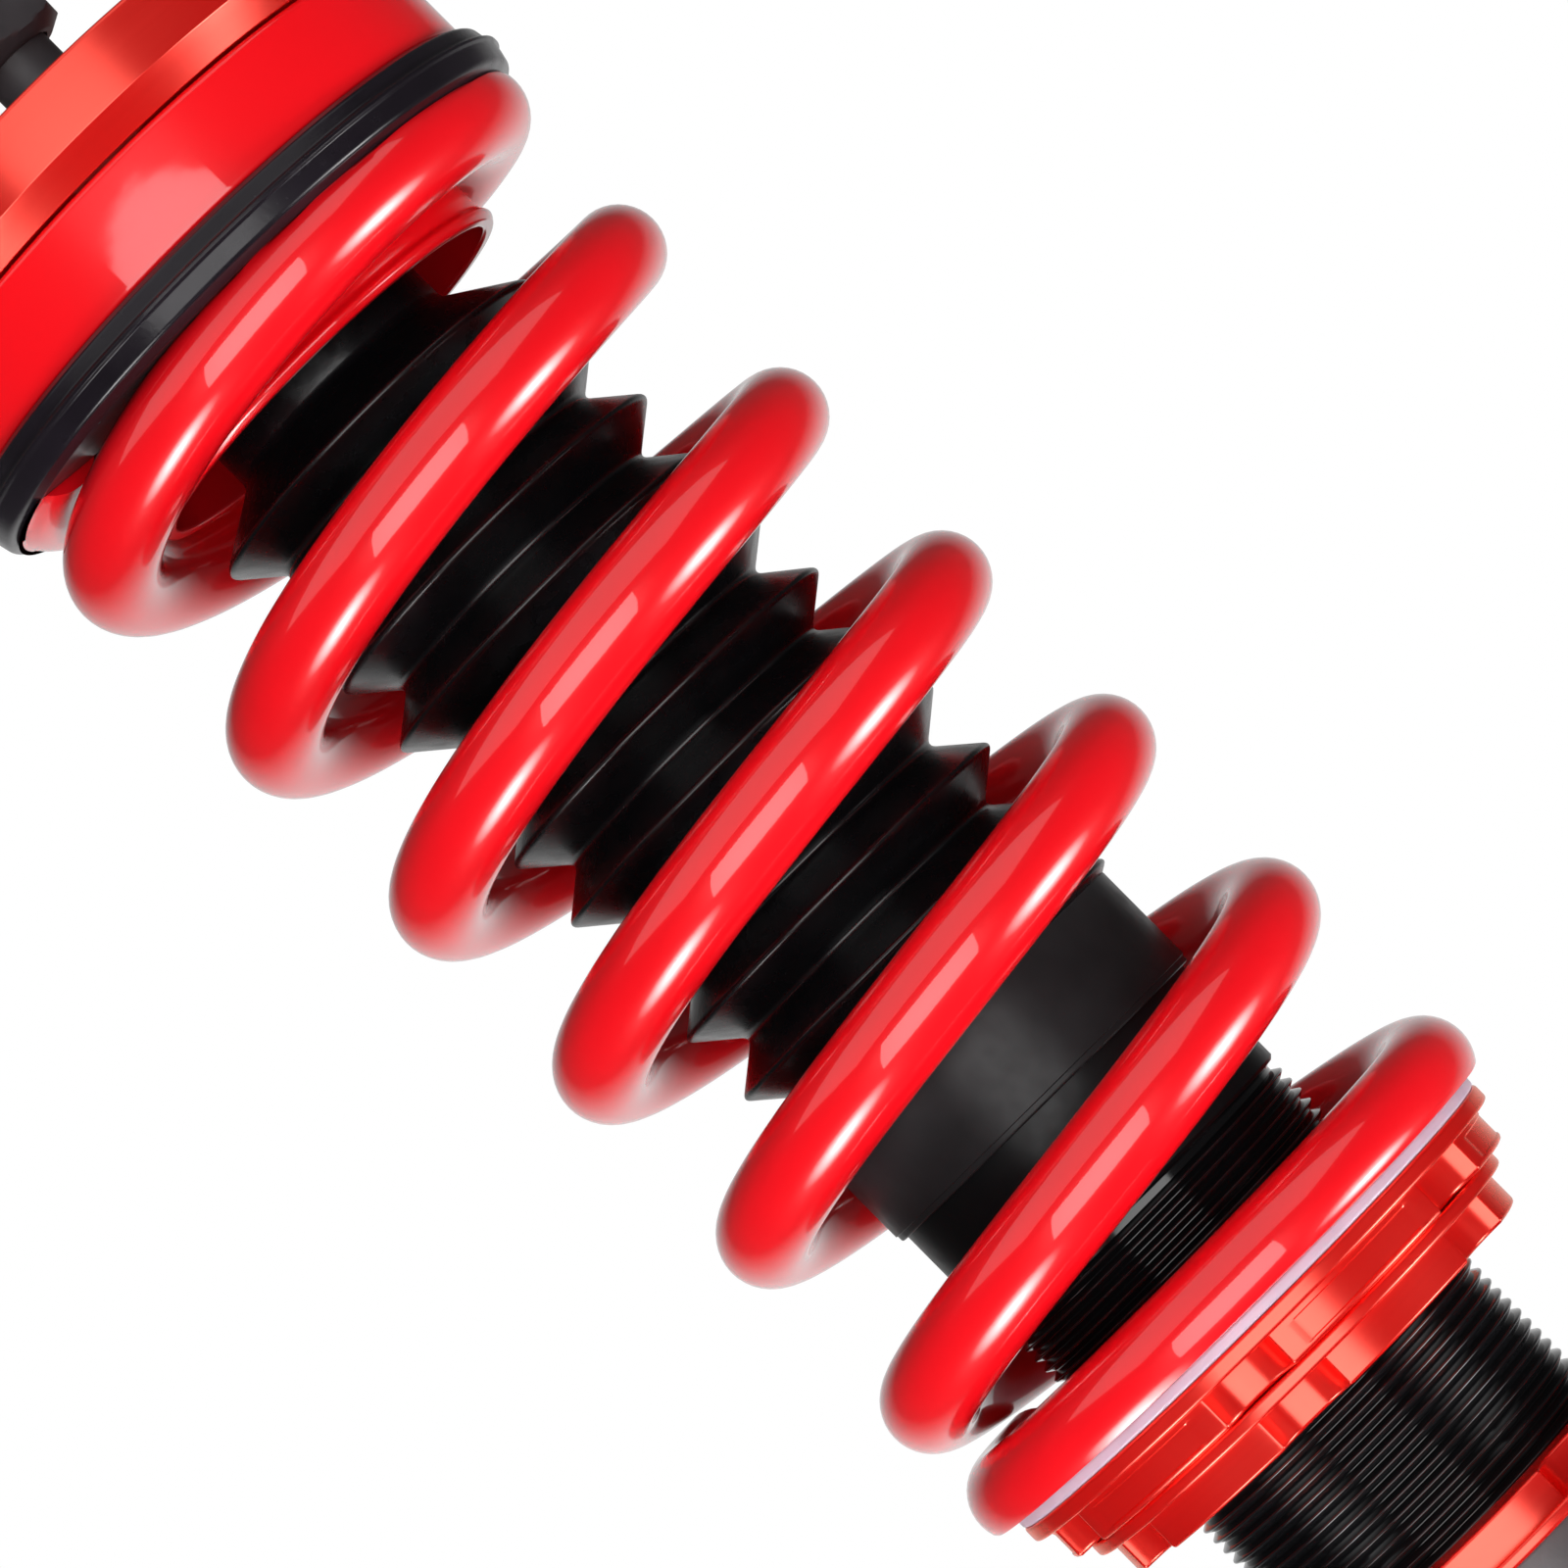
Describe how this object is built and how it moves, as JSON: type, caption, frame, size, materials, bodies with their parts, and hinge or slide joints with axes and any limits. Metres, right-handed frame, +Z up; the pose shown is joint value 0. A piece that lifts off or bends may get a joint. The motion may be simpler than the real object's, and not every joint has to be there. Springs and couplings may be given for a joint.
{
  "type": "coilover suspension strut",
  "caption": "Coilover strut: ball-bearing top mount, coil spring on a threaded damper with locking rings, bellows boot and a clevis bracket for the wheel knuckle.",
  "frame": {"origin": "centre of the top plate's upper face, in the middle of the three mounting studs", "axes": "+Z up along the strut towards the car body; the knuckle clevis opens towards +X"},
  "size_m": [0.13, 0.114, 0.4203],
  "materials": {
    "anodised_red": "red anodised aluminium, satin",
    "bare_aluminium": "machined aluminium",
    "gloss_red": "gloss red powder coat over steel",
    "spring_red": "gloss red powder coat over spring steel",
    "black_coat": "satin black coating over steel",
    "bracket_grey": "matte dark grey powder coat over steel",
    "black_steel": "black oxide steel",
    "zinc_steel": "zinc plated steel",
    "bearing_steel": "ground bearing steel",
    "chrome_rod": "hard chrome, polished",
    "spring_steel": "bright spring steel",
    "isolator_rubber": "moulded black rubber",
    "boot_rubber": "moulded black rubber, satin",
    "seal_rubber": "nitrile rubber",
    "bump_foam": "microcellular polyurethane",
    "ptfe": "filled PTFE",
    "nylon": "white nylon",
    "bronze": "sintered bronze",
    "cuff_plastic": "black moulded plastic"
  },
  "bodies": {
    "top_mount": {"top_plate": "anodised_red", "mounting_studs": "zinc_steel", "bearing_race": "bearing_steel", "snap_ring": "spring_steel", "thrust_race_upper": "bearing_steel"},
    "strut_rod": {"bearing_ball": "bearing_steel", "lower_spacer": "zinc_steel", "piston_rod": "chrome_rod", "rod_nut": "zinc_steel", "upper_spring_seat": "gloss_red", "rubber_isolator": "isolator_rubber", "thrust_race_lower": "bearing_steel", "thrust_balls": "bearing_steel", "bump_stop_washer": "zinc_steel", "bump_stop": "bump_foam", "piston": "bare_aluminium", "piston_band": "ptfe", "rebound_shims": "spring_steel", "compression_shims": "spring_steel", "piston_nut": "zinc_steel", "rebound_stop": "zinc_steel"},
    "damper_body": {"damper_tube": "black_coat", "gland_nut": "zinc_steel", "wiper_seal": "seal_rubber", "rod_guide": "bare_aluminium", "rod_seal": "seal_rubber", "guide_bush": "bronze", "gland_oring": "seal_rubber", "boot_cuff": "cuff_plastic", "dust_boot": "boot_rubber", "base_plug": "bare_aluminium", "gas_valve_screw": "zinc_steel"},
    "floating_piston": {"floating_piston": "bare_aluminium", "floating_piston_oring": "seal_rubber"},
    "metering_needle": {"metering_needle": "spring_steel"},
    "adjuster_knob": {"adjuster_knob": "black_steel"},
    "spring_platform": {"coil_spring": "spring_red", "slip_washer": "nylon"},
    "seat_rings": {"spring_seat_ring": "anodised_red", "seat_lock_ring": "anodised_red"},
    "lower_bracket": {"bracket_sleeve": "bracket_grey", "knuckle_clevis": "bracket_grey", "link_tab": "bracket_grey", "hose_tab": "bracket_grey"},
    "bracket_ring": {"bracket_lock_ring": "anodised_red"}
  },
  "joints": [
    {"name": "steering_swivel", "type": "hinge", "parent": "top_mount", "child": "strut_rod", "pos_m": [0, 0, 0], "axis": [0, 0, 1], "range_deg": [-45, 45]},
    {"name": "damper_stroke", "type": "slide", "parent": "strut_rod", "child": "damper_body", "axis": [0, 0, 1], "range_m": [0, 0.08], "stiffness_N_per_m": 60000, "deforming": ["coil_spring", "dust_boot"]},
    {"name": "floating_piston_slide", "type": "slide", "parent": "damper_body", "child": "floating_piston", "axis": [0, 0, 1], "range_m": [-0.0185, 0]},
    {"name": "spring_preload", "type": "slide", "parent": "damper_body", "child": "spring_platform", "axis": [0, 0, 1], "range_m": [-0.012, 0]},
    {"name": "seat_ring_turn", "type": "hinge", "parent": "spring_platform", "child": "seat_rings", "pos_m": [0, 0, 0], "axis": [0, 0, 1], "range_deg": [-2165, 0]},
    {"name": "ride_height", "type": "slide", "parent": "damper_body", "child": "lower_bracket", "axis": [0, 0, 1], "range_m": [-0.03, 0.012]},
    {"name": "bracket_ring_turn", "type": "hinge", "parent": "lower_bracket", "child": "bracket_ring", "pos_m": [0, 0, 0], "axis": [0, 0, 1], "range_deg": [-5405, 2165]},
    {"name": "damping_knob", "type": "hinge", "parent": "strut_rod", "child": "adjuster_knob", "pos_m": [0, 0, 0], "axis": [0, 0, 1], "range_deg": [-541, 0]},
    {"name": "needle_travel", "type": "slide", "parent": "strut_rod", "child": "metering_needle", "axis": [0, 0, 1], "range_m": [-0.00112, 0]}
  ],
  "couplings": [
    {"joint": "floating_piston_slide", "follows": "damper_stroke", "ratio": -0.22873},
    {"joint": "seat_ring_turn", "follows": "spring_preload", "rad_per_m": 3141.6},
    {"joint": "bracket_ring_turn", "follows": "ride_height", "rad_per_m": 3141.6},
    {"joint": "damping_knob", "follows": "needle_travel", "rad_per_m": 8377.6}
  ]
}
